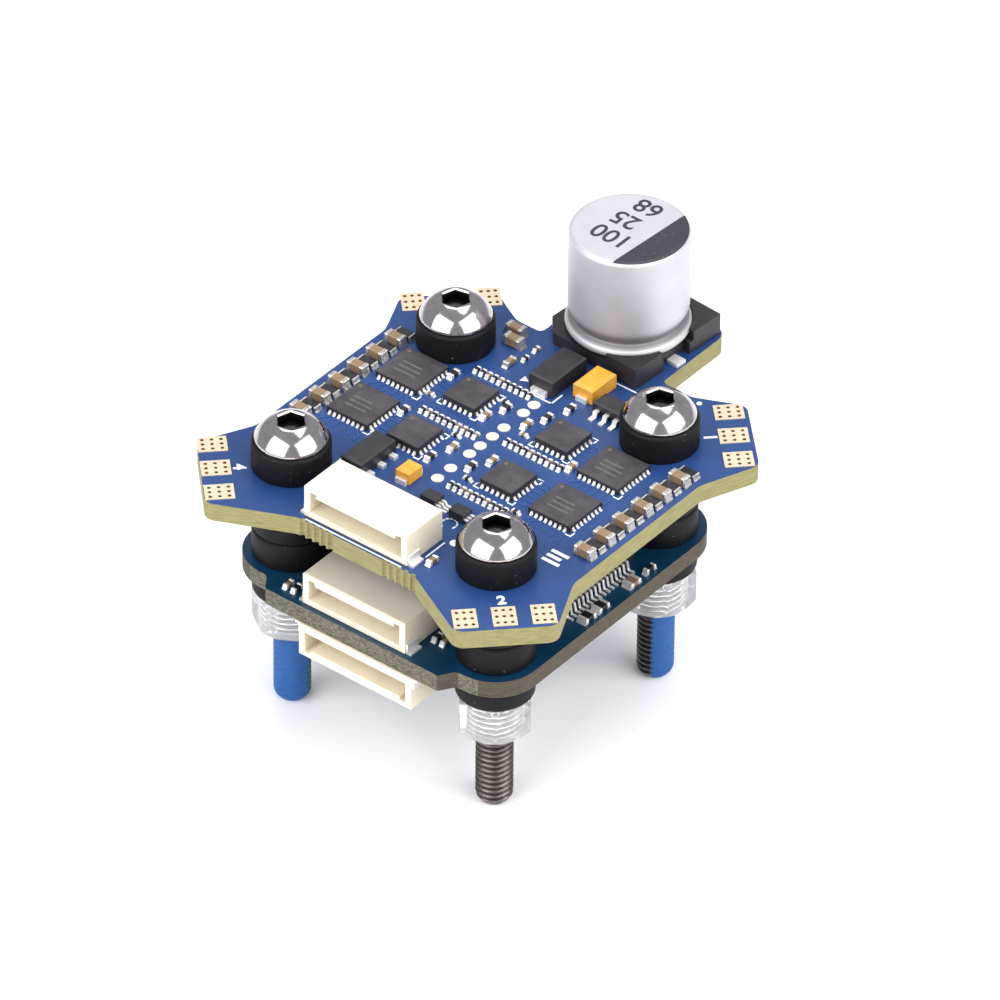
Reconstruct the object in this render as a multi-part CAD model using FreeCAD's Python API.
import FreeCAD, Part
import math
import os

from FreeCAD import Vector

# A flight controller stack for a small multirotor, in millimetres. Four M3 screws carry two boards
# on silicone dampers: the motor speed controller on top and the flight controller below it.
# Origin: centre of the four screws, on the underside of the nuts. +Y points at the capacitor.

# Driving dimensions
HOLE_PITCH = 20.0
NUT_HEIGHT = 3.3
NUT_FLATS = 5.5
FC_LOWER_FLANGE = 2.1
FC_THICKNESS = 1.5
FC_UPPER_FLANGE = 2.5
ESC_LOWER_FLANGE = 4.1
ESC_THICKNESS = 1.6
ESC_UPPER_FLANGE = 2.5
SCREW_LENGTH = 25.0
SCREW_RADIUS = 1.475
SHANK_RADIUS = 1.44
SCREW_TIP_RADIUS = 1.0
HEAD_RADIUS = 2.85
HEAD_HEIGHT = 1.65
HEAD_TOP_RADIUS = 1.35
HEAD_RIM = 0.2
HEAD_BULGE = 0.13
KEY_FLATS = 2.0
KEY_DEPTH = 1.05
DAMPER_RADIUS = 3.1
DAMPER_NECK_RADIUS = 1.95
DAMPER_EDGE = 0.35
BORE_RADIUS = 1.55
BOARD_HOLE_RADIUS = 2.0
CLAMP_GAP = 0.02

# Levels of the stack, from the nuts up
FC_BOTTOM = NUT_HEIGHT + FC_LOWER_FLANGE
FC_TOP = FC_BOTTOM + FC_THICKNESS
DAMPER_SEAM = FC_TOP + FC_UPPER_FLANGE
ESC_BOTTOM = DAMPER_SEAM + ESC_LOWER_FLANGE
ESC_TOP = ESC_BOTTOM + ESC_THICKNESS
HEAD_SEAT = ESC_TOP + ESC_UPPER_FLANGE

# Screw places by motor number, and the way each hex nut is turned about its screw
HALF = HOLE_PITCH / 2
CORNERS = {1: (HALF, HALF), 2: (HALF, -HALF), 3: (-HALF, HALF), 4: (-HALF, -HALF)}
NUT_TURN = {1: 22.0, 2: 8.3, 3: 40.0, 4: 31.0}

# Capacitor
CAN_CENTRE = (-0.07, 18.93)
CAN_RADIUS = 4.75
CAN_RIM_RADIUS = 4.95
CAN_TOP = 10.4
CAN_SEAT = 1.3
CAP_TURN = -4.0
BASE_X = (-5.0, 5.04)
BASE_Y = (-4.75, 5.05)
BASE_CUT = 1.5
BASE_PLATE = 1.1
POST_SIZE = 3.1
FRONT_POST = 1.85
BACK_POST = 1.95

# Wire sockets of 1 mm pitch
SOCKET_DEPTH = 4.25
SOCKET_HEIGHT = 2.95
SOCKET_SIDE = 0.55
SOCKET_ROOF = 0.8
SOCKET_FLOOR = 0.62
SOCKET_BACK = 0.9
SOCKET_PITCH = 1.0
BLADE_INSET = 2.0
ESC_SOCKET = {"pins": 8, "x": -0.15, "front": -14.35, "z": ESC_TOP, "up": 1}
FC_TOP_SOCKET = {"pins": 8, "x": -0.03, "front": -14.7, "z": FC_TOP, "up": 1}
FC_BOTTOM_SOCKET = {"pins": 9, "x": 0.6, "front": -15.35, "z": FC_BOTTOM, "up": -1}

# Motor pads: centre of each row of three, and the unit step along the board's corner edge
PAD_SIZE = (2.3, 1.85)
PAD_THICKNESS = 0.06
PAD_STEP = 2.98
PAD_ROWS = {1: (14.05, 14.05), 2: (14.3, -14.4), 3: (-13.6, 13.9), 4: (-14.1, -14.1)}
VIA_RADIUS = 0.15
VIA_PITCH = (0.74, 0.56)

# Chips on the speed controller: one microcontroller and one gate driver for each motor
MICRO_SIZE = (4.0, 4.0, 0.55)
MICRO_PLACES = {1: (9.75, 4.6), 2: (9.75, -1.3), 3: (-9.95, 4.6), 4: (-10.1, -1.2)}
DRIVER_SIZE = (3.1, 3.1, 0.75)
DRIVER_PLACES = {1: (4.45, 5.15), 2: (4.4, -1.5), 3: (-4.4, 4.9), 4: (-4.7, -1.6)}
MOSFET_SIZE = (3.0, 3.0, 0.8)
MOSFET_PITCH = 3.25

# Large capacitors and sense resistors in a row along each long edge
EDGE_PITCH = 2.31
EDGE_FIRST = 6.8
EDGE_X = {"left": -13.4, "right": 14.4}

# Processor on the flight controller
CPU_CENTRE = (6.3, 0.35)
CPU_BODY = 10.0
CPU_SPAN = 12.0
CPU_HEIGHT = 1.4
CPU_LEADS = 16
CPU_LEAD_PITCH = 0.5

# USB socket in the left edge of the flight controller
USB_X = (-14.9, -7.6)
USB_WIDTH = 8.94
USB_HEIGHT = 3.2
USB_WALL = 0.3

BUTTON_CENTRE = (-3.5, 12.4)
BUTTON_CASE = (3.2, 2.6, 1.3)
BUTTON_RADIUS = 0.7
BUTTON_TRAVEL = 0.25


def box(x, y, z):
    """A block between two corners, each given as a (low, high) pair along its axis."""
    size = (x[1] - x[0], y[1] - y[0], z[1] - z[0])
    return Part.makeBox(size[0], size[1], size[2], Vector(x[0], y[0], z[0]))


def block(centre, size, z):
    """A block of the given length, width and height, centred over a point and standing on z."""
    x, y = centre
    return box((x - size[0] / 2, x + size[0] / 2), (y - size[1] / 2, y + size[1] / 2), (z, z + size[2]))


def rounded_outline(points, z):
    """A closed flat outline through (x, y, radius) corners: straight runs joined by tangent arcs."""
    edges = []
    ends = []
    count = len(points)
    for i in range(count):
        before = Vector(points[i - 1][0], points[i - 1][1], z)
        corner = Vector(points[i][0], points[i][1], z)
        after = Vector(points[(i + 1) % count][0], points[(i + 1) % count][1], z)
        radius = points[i][2]
        back = (before - corner).normalize()
        ahead = (after - corner).normalize()
        half = back.getAngle(ahead) / 2
        reach = radius / math.tan(half)
        start = corner + back * reach
        end = corner + ahead * reach
        middle = (back + ahead).normalize()
        crown = corner + middle * (radius / math.sin(half) - radius)
        ends.append((start, end))
        edges.append(Part.Arc(start, crown, end).toShape())
    for i in range(count):
        edges.append(Part.LineSegment(ends[i - 1][1], ends[i][0]).toShape())
    return Part.Wire(Part.__sortEdges__(edges))


def plate(points, bottom, thickness):
    """A board of even thickness with the given rounded outline."""
    face = Part.Face(rounded_outline(points, bottom))
    return face.extrude(Vector(0, 0, thickness))


def turned(profile, centre):
    """A solid of revolution about the vertical axis through centre, from (radius, z) points."""
    corners = [Vector(r, 0, z) for r, z in profile]
    face = Part.Face(Part.makePolygon(corners + corners[:1]))
    solid = face.revolve(Vector(0, 0, 0), Vector(0, 0, 1), 360)
    solid.translate(Vector(centre[0], centre[1], 0))
    return solid


def hexagon(flats, centre, z, height, turn):
    """A hexagonal prism, given across its flats and turned about its own axis in degrees."""
    radius = flats / math.sqrt(3)
    corners = []
    for k in range(7):
        angle = math.radians(turn + 60 * k)
        corners.append(Vector(centre[0] + radius * math.cos(angle), centre[1] + radius * math.sin(angle), z))
    return Part.Face(Part.makePolygon(corners)).extrude(Vector(0, 0, height))


def drilled(solid, radius, bottom, height):
    """The solid with the four screw holes bored through it."""
    holes = [Part.makeCylinder(radius, height, Vector(x, y, bottom)) for x, y in CORNERS.values()]
    return solid.cut(Part.makeCompound(holes))


def esc_board():
    """Speed controller board: winged corners for the motor pads and a tab for the capacitor."""
    outline = [
        (-5.4, -14.85, 1.2), (6.0, -14.85, 1.2), (12.6, -18.2, 1.1), (18.1, -12.7, 1.1),
        (15.85, -8.0, 2.0), (15.85, 7.5, 2.0), (17.85, 12.35, 1.0), (12.5, 17.7, 1.0),
        (8.6, 15.9, 1.5), (5.65, 15.9, 0.5), (5.65, 24.2, 1.2), (-5.55, 24.2, 1.2),
        (-5.55, 15.05, 0.5), (-8.0, 15.05, 1.5), (-11.55, 16.95, 0.9), (-16.85, 11.6, 0.9),
        (-15.15, 7.7, 2.0), (-15.15, -8.0, 2.0), (-17.4, -12.45, 1.0), (-12.0, -17.9, 1.0),
    ]
    board = drilled(plate(outline, ESC_BOTTOM, ESC_THICKNESS), BOARD_HOLE_RADIUS, ESC_BOTTOM, ESC_THICKNESS)
    bites = []
    for first in (-4.9, 3.1):
        for k in range(5):
            place = Vector(first + 0.68 * k, -14.88, ESC_BOTTOM)
            bites.append(Part.makeCylinder(0.24, ESC_THICKNESS, place))
    return board.cut(Part.makeCompound(bites))


def fc_board():
    """Flight controller board: a lobe round each screw and a broken-off edge at front and back."""
    lobe = HALF + 3.8
    neck = HALF - 0.7
    outline = []
    for sx, sy in ((-1, -1), (1, -1), (1, 1), (-1, 1)):
        corner = [(sx * lobe, sy * lobe, 3.79), (sx * neck, sy * lobe, 0.7), (sx * 8.45, sy * 15.1, 0.35)]
        outline += corner if sx * sy > 0 else corner[::-1]
    board = plate(outline, FC_BOTTOM, FC_THICKNESS)
    return drilled(board, BOARD_HOLE_RADIUS, FC_BOTTOM, FC_THICKNESS)


def motor_pads():
    """Three gold pads on each corner of the speed controller, each with nine plated holes."""
    pads = []
    for k, (cx, cy) in PAD_ROWS.items():
        outward = math.degrees(math.atan2(CORNERS[k][1], CORNERS[k][0]))
        for step in (-1, 0, 1):
            pad = block((0, 0), (PAD_SIZE[1], PAD_SIZE[0], PAD_THICKNESS), ESC_TOP)
            holes = []
            for i in (-1, 0, 1):
                for j in (-1, 0, 1):
                    place = Vector(i * VIA_PITCH[1], j * VIA_PITCH[0], ESC_TOP)
                    holes.append(Part.makeCylinder(VIA_RADIUS, PAD_THICKNESS, place))
            pad = pad.cut(Part.makeCompound(holes))
            pad.translate(Vector(step * PAD_STEP, 0, 0))
            pad.rotate(Vector(0, 0, 0), Vector(0, 0, 1), outward - 90)
            pad.translate(Vector(cx, cy, 0))
            pads.append(pad)
    return Part.makeCompound(pads)


def plain_pads():
    """A column of round test pads on the speed controller, and two battery pads under its tab."""
    pads = []
    for y in (7.4, 6.1, 3.7, 2.3, 0.8, -0.5, -2.8, -4.4):
        pads.append(Part.makeCylinder(0.5, PAD_THICKNESS, Vector(-0.2, y, ESC_TOP)))
    for x in (-2.7, 2.8):
        pads.append(block((x, 20.6), (4.4, 5.6, PAD_THICKNESS), ESC_BOTTOM - PAD_THICKNESS))
    return Part.makeCompound(pads)


def socket_x(socket):
    """Left and right faces of a wire socket."""
    half = (socket["pins"] * SOCKET_PITCH + 2.0) / 2
    return socket["x"] - half, socket["x"] + half


def socket_z(socket, low, high):
    """A height range measured from the board face that the socket stands on."""
    ends = (socket["z"] + socket["up"] * low, socket["z"] + socket["up"] * high)
    return min(ends), max(ends)


def socket_housing(socket):
    """Side-entry nylon housing, open to the front, with a keying slot at each end of its mouth."""
    left, right = socket_x(socket)
    front = socket["front"]
    back = front + SOCKET_DEPTH
    shell = box((left, right), (front, back), socket_z(socket, 0, SOCKET_HEIGHT))
    shell = shell.makeFillet(0.12, [e for e in shell.Edges if e.Length > SOCKET_DEPTH - 0.1])
    mouth_z = socket_z(socket, SOCKET_FLOOR, SOCKET_HEIGHT - SOCKET_ROOF)
    mouth = box((left + SOCKET_SIDE, right - SOCKET_SIDE), (front - 1, back - SOCKET_BACK), mouth_z)
    key_z = socket_z(socket, SOCKET_FLOOR, SOCKET_HEIGHT - 0.45)
    keys = []
    for x in (left + SOCKET_SIDE, right - SOCKET_SIDE - 0.6):
        keys.append(box((x, x + 0.6), (front - 1, back - 1.6), key_z))
    slots = []
    for i in range(socket["pins"]):
        x = socket["x"] + (i - (socket["pins"] - 1) / 2) * SOCKET_PITCH
        slots.append(box((x - 0.2, x + 0.2), (back - 1.5, back + 1), socket_z(socket, 0.9, 1.4)))
    return shell.cut(Part.makeCompound([mouth] + keys + slots))


def socket_pins(socket):
    """Plated contacts: a blade inside the mouth, a leg down the back and a foot on the board."""
    pins = []
    back = socket["front"] + SOCKET_DEPTH
    for i in range(socket["pins"]):
        x = socket["x"] + (i - (socket["pins"] - 1) / 2) * SOCKET_PITCH
        across = (x - 0.15, x + 0.15)
        blade = box(across, (socket["front"] + BLADE_INSET, back + 0.25), socket_z(socket, 1.02, 1.28))
        leg = box(across, (back + 0.05, back + 0.3), socket_z(socket, 0, 1.28))
        foot = box(across, (back + 0.05, back + 1.0), socket_z(socket, 0, 0.2))
        pins.append(blade.fuse([leg, foot]).removeSplitter())
    return Part.makeCompound(pins)


def socket_tabs(socket):
    """Tinned anchor tabs soldered to the board at both sides of a housing."""
    left, right = socket_x(socket)
    y = (socket["front"] + 0.15, socket["front"] + 1.45)
    tabs = []
    for inner, side in ((left, -1), (right, 1)):
        upright = sorted((inner, inner + side * 0.16))
        foot = sorted((inner, inner + side * 0.5))
        wall = box(upright, y, socket_z(socket, 0, 0.95))
        tabs.append(wall.fuse(box(foot, y, socket_z(socket, 0, 0.18))).removeSplitter())
    return Part.makeCompound(tabs)


def capacitor_frame(solid):
    """The solid turned with the capacitor and moved from its axis to its place on the board."""
    solid.rotate(Vector(0, 0, 0), Vector(0, 0, 1), CAP_TURN)
    solid.translate(Vector(CAN_CENTRE[0], CAN_CENTRE[1], ESC_TOP))
    return solid


def capacitor_base():
    """Moulded seat: a plate with two cut corners, a foot for the can, and posts on the uncut corners."""
    x0, x1 = BASE_X
    y0, y1 = BASE_Y
    cut = BASE_CUT
    corners = [(x0 + cut, y0), (x1, y0), (x1, y1), (x0 + cut, y1), (x0, y1 - cut), (x0, y0 + cut)]
    wire = Part.makePolygon([Vector(x, y, 0) for x, y in corners + corners[:1]])
    plate_solid = Part.Face(wire).extrude(Vector(0, 0, BASE_PLATE))
    foot = Part.makeCylinder(CAN_RIM_RADIUS - 0.6, CAN_SEAT)
    posts = [
        box((x1 - POST_SIZE, x1), (y0, y0 + POST_SIZE), (0, FRONT_POST)),
        box((x1 - POST_SIZE, x1), (y1 - POST_SIZE, y1), (0, BACK_POST)),
    ]
    seat = plate_solid.fuse([foot] + posts)
    well = Part.makeCylinder(CAN_RIM_RADIUS + 0.03, CAN_TOP, Vector(0, 0, CAN_SEAT))
    recesses = []
    for near, far in ((x0 - 1, x0 + 0.65), (x1 - 0.65, x1 + 1)):
        recesses.append(box((near, far), (-1.5, 1.5), (-1, CAN_SEAT)))
    seat = seat.cut(Part.makeCompound([well] + recesses)).removeSplitter()
    return capacitor_frame(seat)


def capacitor_can():
    """Drawn aluminium can with a rolled groove above its crimped rim and a rounded top edge."""
    foot = ESC_TOP + CAN_SEAT
    top = ESC_TOP + CAN_TOP
    roll = 0.45
    edge = 0.4
    waist = CAN_RADIUS - 0.35
    profile = [(0, foot)]
    for k in range(7):
        angle = math.radians(-90 + 25 * k)
        profile.append((CAN_RIM_RADIUS - roll + roll * math.cos(angle), foot + roll + roll * math.sin(angle)))
    rim_radius, rim_top = profile[-1]
    for k in range(1, 6):
        ease = (1 - math.cos(math.pi * k / 5)) / 2
        profile.append((rim_radius + (waist - rim_radius) * ease, rim_top + 0.35 * k / 5))
    for k in range(1, 6):
        ease = (1 - math.cos(math.pi * k / 5)) / 2
        profile.append((waist + (CAN_RADIUS - waist) * ease, rim_top + 0.35 + k / 5))
    for k in range(6):
        angle = math.radians(90 * k / 5)
        profile.append((CAN_RADIUS - edge + edge * math.cos(angle), top - edge + edge * math.sin(angle)))
    profile += [(0, top)]
    return turned(profile, CAN_CENTRE)


def capacitor_terminals():
    """Flat tinned leads that come out of the recesses in the base."""
    left = block((BASE_X[0] + 0.32, 0), (0.6, 1.0, 0.3), 0)
    right = block((BASE_X[1] - 0.04, 0), (1.1, 1.0, 0.3), 0)
    return capacitor_frame(Part.makeCompound([left, right]))


def chamfered_chip(centre, size, z, chamfer):
    """A moulded package with a chamfered top edge."""
    body = block(centre, size, z)
    top = z + size[2] - 1e-6
    return body.makeChamfer(chamfer, [e for e in body.Edges if e.BoundBox.ZMin > top - 1e-3])


def side_pads(centre, size, count, pitch, z, reach):
    """Solder lands that show beyond all four sides of a leadless package."""
    cx, cy = centre
    lands = []
    for i in range(count):
        offset = (i - (count - 1) / 2) * pitch
        for side in (-1, 1):
            edge = side * (size[0] / 2 + reach / 2)
            lands.append(block((cx + edge, cy + offset), (reach, pitch * 0.5, 0.09), z))
            lands.append(block((cx + offset, cy + edge), (pitch * 0.5, reach, 0.09), z))
    return lands


def chip_lands():
    """The lands of the four microcontrollers and the four gate drivers."""
    lands = []
    for centre in MICRO_PLACES.values():
        lands += side_pads(centre, MICRO_SIZE, 8, 0.46, ESC_TOP, 0.28)
    for centre in DRIVER_PLACES.values():
        lands += side_pads(centre, DRIVER_SIZE, 6, 0.5, ESC_TOP, 0.36)
    return Part.makeCompound(lands)


def mosfets(motor):
    """Six power transistors under the speed controller that drive one motor."""
    side_x = 1 if CORNERS[motor][0] > 0 else -1
    side_y = 1 if CORNERS[motor][1] > 0 else -1
    parts = []
    for column in range(3):
        for row in range(2):
            x = side_x * (6.7 + MOSFET_PITCH * column) + 0.2
            y = side_y * MOSFET_PITCH * (row + 0.5)
            parts.append(block((x, y), MOSFET_SIZE, ESC_BOTTOM - MOSFET_SIZE[2]))
    return Part.makeCompound(parts)


def edge_parts(size, first):
    """One part at every step of the rows along both long edges."""
    parts = []
    for x in EDGE_X.values():
        for k in range(6):
            parts.append(block((x, first - EDGE_PITCH * k), size, ESC_TOP))
    return Part.makeCompound(parts)


def small_parts_esc():
    """Chip resistors and capacitors of 0.6 and 1.0 mm length on the speed controller."""
    small = (0.34, 0.64, 0.3)
    medium = (0.52, 1.0, 0.42)
    parts = []
    rows = ((-6.3, 8.05), (-6.4, 1.5), (1.15, 2.4), (1.15, -4.45))
    for x, y in rows:
        for k in range(10):
            parts.append(block((x + 0.58 * k, y), small, ESC_TOP))
    upright = (
        (-1.5, 5.6), (-2.15, 3.9), (-1.6, -0.8), (-2.2, -2.8), (1.0, 5.0), (1.75, 6.6), (1.0, -1.8),
        (1.8, -0.2), (6.95, 3.0), (-7.3, 6.4), (-7.4, 0.4), (6.0, -12.7), (2.4, 8.6),
    )
    for place in upright:
        parts.append(block(place, medium, ESC_TOP))
    for place in ((-4.35, 12.95), (-4.3, 11.5)):
        parts.append(block(place, small, ESC_TOP))
    beside = ((-2.1, 6.2), (-2.4, 0.6), (1.6, 3.9), (1.7, -3.1), (-7.35, -3.2), (-7.2, 3.4), (7.1, -4.0))
    for place in beside:
        parts.append(block(place, (small[1], small[0], small[2]), ESC_TOP))
    return Part.makeCompound(parts)


def brown_parts_esc():
    """Ceramic capacitors beside the third motor's corner."""
    parts = [block(place, (1.6, 0.85, 0.85), ESC_TOP) for place in ((-6.2, 12.45), (-6.95, 13.65))]
    parts.append(block((-4.9, 10.3), (0.55, 1.1, 0.5), ESC_TOP))
    return Part.makeCompound(parts)


def power_diode():
    """Tall moulded diode at the capacitor, with a terminal at each end."""
    return chamfered_chip((-0.75, 11.05), (2.3, 4.3, 1.5), ESC_TOP + 0.05, 0.15)


def regulator():
    """Moulded converter package behind the wire socket."""
    return chamfered_chip((-5.7, -5.95), (2.0, 4.2, 1.25), ESC_TOP + 0.05, 0.15)


def package_terminals():
    """Tinned terminals of the diode, the converter and the two tantalum capacitors."""
    pieces = []
    for y in (-7.35, -5.95, -4.55):
        pieces.append(block((-4.4, y), (0.55, 0.5, 0.3), ESC_TOP))
        pieces.append(block((-7.0, y), (0.55, 0.5, 0.3), ESC_TOP))
    for y in (8.7, 13.4):
        pieces.append(block((-0.75, y), (1.4, 0.36, 0.5), ESC_TOP))
    for x, y, length in ((2.35, 11.7, 3.0), (-1.95, -5.7, 1.6)):
        for side in (-1, 1):
            pieces.append(block((x, y + side * (length / 2 + 0.15)), (1.0, 0.26, 0.45), ESC_TOP))
    return Part.makeCompound(pieces)


def tantalum(centre, size):
    """Moulded tantalum capacitor with a bevelled top."""
    return chamfered_chip(centre, size, ESC_TOP + 0.05, 0.2)


def small_transistors():
    """Three small moulded packages: two transistors behind the wire socket and a regulator."""
    small = (1.4, 1.1, 0.85)
    large = (2.9, 1.6, 1.0)
    spots = (((1.35, -7.0), small), ((4.15, -7.05), small), ((5.3, 10.35), large))
    return Part.makeCompound([chamfered_chip(c, s, ESC_TOP + 0.05, 0.12) for c, s in spots])


def transistor_legs():
    """Bent legs of the three small packages: three toward the front or the right, and the rest behind."""
    legs = []
    for x in (4.35, 5.3, 6.25):
        legs.append(gull_wing(Vector(x, 9.55, ESC_TOP), -90, 0.4, 0.5))
    legs.append(gull_wing(Vector(5.3, 11.15, ESC_TOP), 90, 0.4, 0.5))
    for x, y in ((1.35, -7.0), (4.15, -7.05)):
        for dy in (-0.35, 0, 0.35):
            legs.append(gull_wing(Vector(x + 0.7, y + dy, ESC_TOP), 0, 0.2, 0.4))
    return Part.makeCompound(legs)


def gull_wing(root, heading, width, height):
    """A bent lead: it leaves a package at the given height, turns down and ends in a flat foot."""
    thick = 0.13
    run = [(0, height), (0.35, height), (0.5, thick), (1.0, thick)]
    under = [(1.0, 0), (0.42, 0), (0.27, height - thick), (0, height - thick)]
    corners = [Vector(x, -width / 2, z) for x, z in run + under]
    lead = Part.Face(Part.makePolygon(corners + corners[:1])).extrude(Vector(0, width, 0))
    lead.rotate(Vector(0, 0, 0), Vector(0, 0, 1), heading)
    lead.translate(root)
    return lead


def processor():
    """Square moulded processor package."""
    return chamfered_chip(CPU_CENTRE, (CPU_BODY, CPU_BODY, CPU_HEIGHT), FC_TOP + 0.1, 0.15)


def processor_leads():
    """Sixteen bent leads on each side of the processor."""
    leads = []
    cx, cy = CPU_CENTRE
    for side in range(4):
        heading = 90 * side
        angle = math.radians(heading)
        out = Vector(math.cos(angle), math.sin(angle), 0)
        along = Vector(-math.sin(angle), math.cos(angle), 0)
        for i in range(CPU_LEADS):
            offset = (i - (CPU_LEADS - 1) / 2) * CPU_LEAD_PITCH
            root = Vector(cx, cy, FC_TOP) + out * (CPU_SPAN / 2 - 1.0) + along * offset
            leads.append(gull_wing(root, heading, 0.22, 0.85))
    return Part.makeCompound(leads)


def usb_shell():
    """Stamped steel shell of the USB socket, open at the board's edge."""
    half = USB_WIDTH / 2
    outer = box(USB_X, (-half, half), (FC_TOP, FC_TOP + USB_HEIGHT))
    outer = outer.makeFillet(1.2, [e for e in outer.Edges if abs(e.Length - (USB_X[1] - USB_X[0])) < 1e-6])
    wall = USB_WALL
    inner_z = (FC_TOP + wall, FC_TOP + USB_HEIGHT - wall)
    inner = box((USB_X[0] - 1, USB_X[1] - wall), (-half + wall, half - wall), inner_z)
    length = USB_X[1] - USB_X[0] + 1 - wall
    inner = inner.makeFillet(0.95, [e for e in inner.Edges if abs(e.Length - length) < 1e-6])
    return outer.cut(inner)


def usb_tongue():
    """Moulded tongue in the middle of the USB socket, on its own root block."""
    middle = FC_TOP + USB_HEIGHT / 2
    tongue = box((USB_X[0] + 1.0, USB_X[1] - USB_WALL), (-3.3, 3.3), (middle - 0.35, middle + 0.35))
    root = box((USB_X[1] - USB_WALL - 1.6, USB_X[1] - USB_WALL), (-3.4, 3.4), (middle - 0.9, middle + 0.9))
    return tongue.fuse(root).removeSplitter()


def button_case():
    """Case of the boot button, with a round well for its plunger."""
    case = chamfered_chip(BUTTON_CENTRE, BUTTON_CASE, FC_TOP, 0.12)
    x, y = BUTTON_CENTRE
    well = Part.makeCylinder(BUTTON_RADIUS + 0.05, BUTTON_CASE[2], Vector(x, y, FC_TOP + 0.4))
    return case.cut(well)


def button_plunger():
    """Round plunger of the boot button."""
    x, y = BUTTON_CENTRE
    bottom = FC_TOP + 0.4 + BUTTON_TRAVEL + 0.05
    plunger = Part.makeCylinder(BUTTON_RADIUS, 1.05, Vector(x, y, bottom))
    return plunger.makeChamfer(0.08, [e for e in plunger.Edges if e.BoundBox.ZMin > bottom + 1.0])


def fc_small_parts():
    """Chip parts on top of the flight controller."""
    parts = []
    for y in (2.95, -0.93, -2.6):
        parts.append(block((12.98, y), (0.95, 1.2, 0.5), FC_TOP))
    parts.append(block((13.05, 5.05), (0.5, 1.1, 0.5), FC_TOP))
    for x, y in ((-7.2, -13.75), (-6.4, -13.75), (5.7, -11.65), (6.5, -11.65)):
        parts.append(block((x, y), (0.45, 0.95, 0.4), FC_TOP))
    for k in range(5):
        parts.append(block((-5.4 + 0.9 * k, -8.6), (0.5, 1.0, 0.45), FC_TOP))
        parts.append(block((2.4 + 0.9 * k, 8.6), (0.5, 1.0, 0.45), FC_TOP))
    for k in range(5):
        parts.append(block((-2.0, 5.6 - 1.1 * k), (1.0, 0.5, 0.45), FC_TOP))
    return Part.makeCompound(parts)


def damper(centre, bottom, board_bottom, board_top, top):
    """Silicone grommet: two flanges, a neck through the board hole and a bore for the screw."""
    r = DAMPER_RADIUS
    e = DAMPER_EDGE
    outer = [
        (BORE_RADIUS, bottom), (r - e, bottom), (r - 0.3 * e, bottom + 0.3 * e), (r, bottom + e),
        (r, board_bottom), (DAMPER_NECK_RADIUS, board_bottom), (DAMPER_NECK_RADIUS, board_top),
        (r, board_top), (r, top - e), (r - 0.3 * e, top - 0.3 * e), (r - e, top), (BORE_RADIUS, top),
    ]
    return turned(outer, centre)


def dampers(bottom, board_bottom, board_top, top):
    """The four grommets of one board."""
    return Part.makeCompound([damper(c, bottom, board_bottom, board_top, top) for c in CORNERS.values()])


def screw(centre):
    """Button-head cap screw: key socket, shank inside the stack, threaded free end and rounded tip."""
    seat = HEAD_SEAT + CLAMP_GAP
    tip = seat - SCREW_LENGTH
    profile = [(0, tip), (SCREW_RADIUS - SCREW_TIP_RADIUS, tip)]
    for k in range(1, 7):
        angle = math.radians(-90 + 15 * k)
        radius = SCREW_RADIUS - SCREW_TIP_RADIUS + SCREW_TIP_RADIUS * math.cos(angle)
        profile.append((radius, tip + SCREW_TIP_RADIUS + SCREW_TIP_RADIUS * math.sin(angle)))
    profile += [(SCREW_RADIUS, 0), (SHANK_RADIUS, 0), (SHANK_RADIUS, seat)]
    profile += [(HEAD_RADIUS - 0.08, seat), (HEAD_RADIUS, seat + 0.1)]
    for k in range(9):
        t = k / 8
        bulge = HEAD_BULGE * math.sin(math.pi * t)
        radius = HEAD_RADIUS + (HEAD_TOP_RADIUS - HEAD_RADIUS) * t + bulge
        profile.append((radius, seat + HEAD_RIM + (HEAD_HEIGHT - HEAD_RIM) * t + bulge))
    profile += [(0, seat + HEAD_HEIGHT)]
    key = hexagon(KEY_FLATS, centre, seat + HEAD_HEIGHT - KEY_DEPTH, KEY_DEPTH + 1, 12)
    return turned(profile, centre).cut(key)


def nut(number):
    """Clear nylon hex nut with bevelled corners."""
    centre = CORNERS[number]
    height = NUT_HEIGHT - CLAMP_GAP
    body = hexagon(NUT_FLATS, centre, 0, height, NUT_TURN[number])
    corner = NUT_FLATS / math.sqrt(3)
    bevel = 0.35
    sides = [(corner - bevel, 0), (corner, bevel), (corner, height - bevel), (corner - bevel, height)]
    limit = turned([(0, 0)] + sides + [(0, height)], centre)
    bore = Part.makeCylinder(BORE_RADIUS, height, Vector(centre[0], centre[1], 0))
    return body.common(limit).cut(bore)


def write(name, shape):
    """Write one sub-part to its own file."""
    shape.exportStep(os.path.join("parts", name + ".step"))


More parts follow.
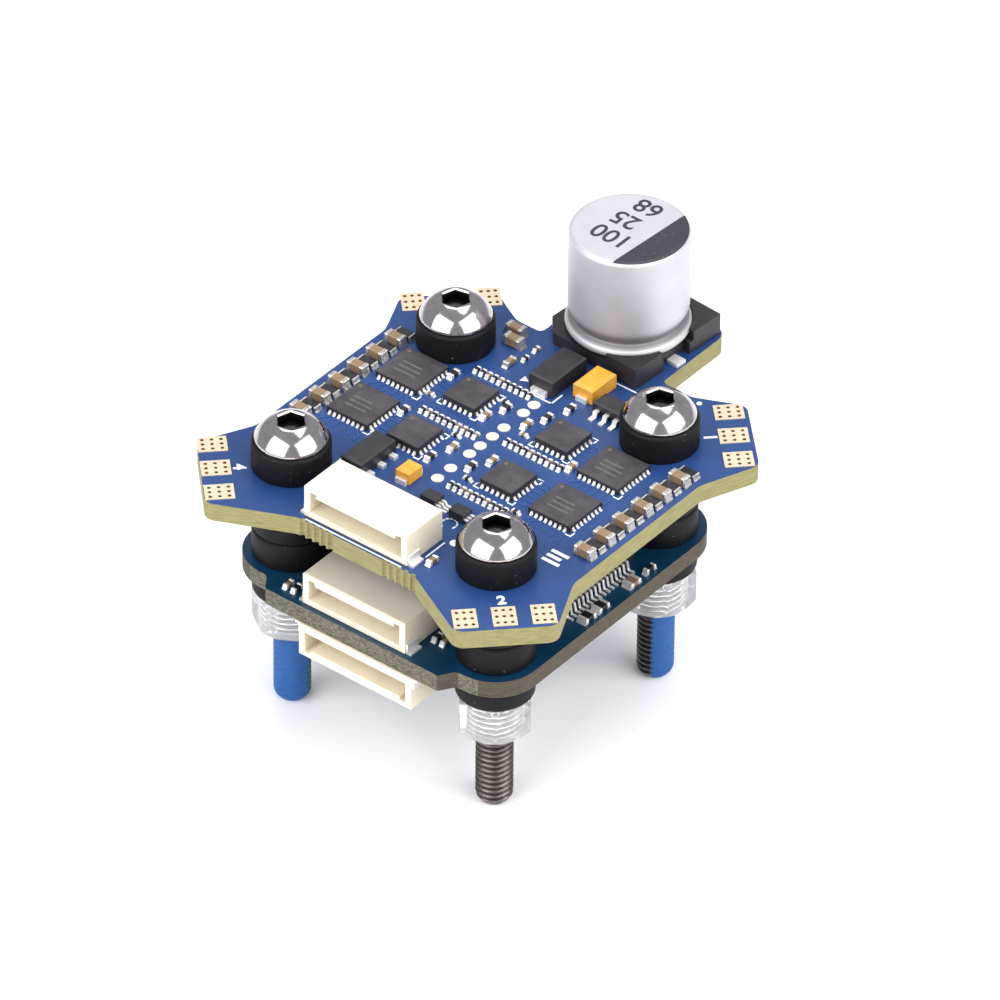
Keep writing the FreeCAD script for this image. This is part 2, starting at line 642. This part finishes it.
def main():
    os.makedirs("parts", exist_ok=True)
    write("esc_board", esc_board())
    write("motor_pads", motor_pads())
    write("plain_pads", plain_pads())
    for name, socket in (("esc", ESC_SOCKET), ("fc_top", FC_TOP_SOCKET), ("fc_bottom", FC_BOTTOM_SOCKET)):
        write(name + "_socket_housing", socket_housing(socket))
        write(name + "_socket_pins", socket_pins(socket))
        write(name + "_socket_tabs", socket_tabs(socket))
    write("capacitor_base", capacitor_base())
    write("capacitor_can", capacitor_can())
    write("capacitor_terminals", capacitor_terminals())
    for k in CORNERS:
        write("microcontroller_%d" % k, chamfered_chip(MICRO_PLACES[k], MICRO_SIZE, ESC_TOP, 0.05))
        write("gate_driver_%d" % k, chamfered_chip(DRIVER_PLACES[k], DRIVER_SIZE, ESC_TOP, 0.05))
        write("mosfets_%d" % k, mosfets(k))
    write("chip_lands", chip_lands())
    write("edge_capacitors", edge_parts((1.6, 0.85, 0.9), EDGE_FIRST))
    write("edge_resistors", edge_parts((1.55, 0.8, 0.45), EDGE_FIRST + EDGE_PITCH / 2))
    write("esc_small_parts", small_parts_esc())
    write("esc_ceramic_capacitors", brown_parts_esc())
    write("power_diode", power_diode())
    write("regulator", regulator())
    write("package_terminals", Part.makeCompound([package_terminals(), transistor_legs()]))
    write("tantalum_small", tantalum((-1.95, -5.7), (1.3, 1.6, 1.15)))
    write("tantalum_large", tantalum((2.35, 11.7), (1.9, 3.0, 1.35)))
    write("small_transistors", small_transistors())
    write("fc_board", fc_board())
    write("processor", processor())
    write("processor_leads", processor_leads())
    write("gyro_sensor", chamfered_chip((-5.0, 1.5), (3.0, 2.5, 0.85), FC_TOP + 0.02, 0.06))
    write("barometer", chamfered_chip((-4.6, -4.6), (2.0, 2.5, 0.95), FC_TOP + 0.02, 0.15))
    write("flash_chip", block((5.0, 2.0), (6.0, 5.0, 0.8), FC_BOTTOM - 0.8))
    write("display_chip", block((-4.5, 1.0), (4.4, 9.7, 1.1), FC_BOTTOM - 1.2))
    write("fc_small_parts", fc_small_parts())
    write("usb_shell", usb_shell())
    write("usb_tongue", usb_tongue())
    write("boot_button_case", button_case())
    write("boot_button_plunger", button_plunger())
    write("esc_dampers", dampers(DAMPER_SEAM, ESC_BOTTOM, ESC_TOP, HEAD_SEAT))
    write("fc_dampers", dampers(NUT_HEIGHT, FC_BOTTOM, FC_TOP, DAMPER_SEAM))
    for k, centre in CORNERS.items():
        write("screw_%d" % k, screw(centre))
        write("nut_%d" % k, nut(k))


main()
